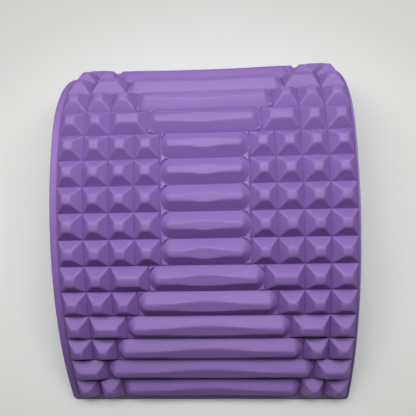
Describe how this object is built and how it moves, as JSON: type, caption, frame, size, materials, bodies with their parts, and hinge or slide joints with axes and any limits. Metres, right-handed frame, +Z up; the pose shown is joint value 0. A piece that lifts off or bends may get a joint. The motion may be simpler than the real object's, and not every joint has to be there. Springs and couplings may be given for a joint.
{
  "type": "back stretcher pillow",
  "caption": "Arched foam pillow to lie on: a textured massage pad of cross bars and small pyramids bonded on a firm foam arch that stands on grip strips.",
  "frame": {"origin": "under the middle of the bounding box, on the surface that the pillow stands on", "axes": "+X across the back, +Y along the spine towards the steep end, +Z up"},
  "size_m": [0.301, 0.383, 0.1134],
  "materials": {
    "soft_foam": "satin moulded closed-cell foam, fine skin",
    "firm_foam": "matt closed-cell foam",
    "grip_rubber": "matt rubber sheet"
  },
  "bodies": {
    "root": {"massage_pad": "soft_foam", "support_arch": "firm_foam", "grip_strip_gentle_end": "grip_rubber", "grip_strip_steep_end": "grip_rubber"}
  },
  "joints": []
}
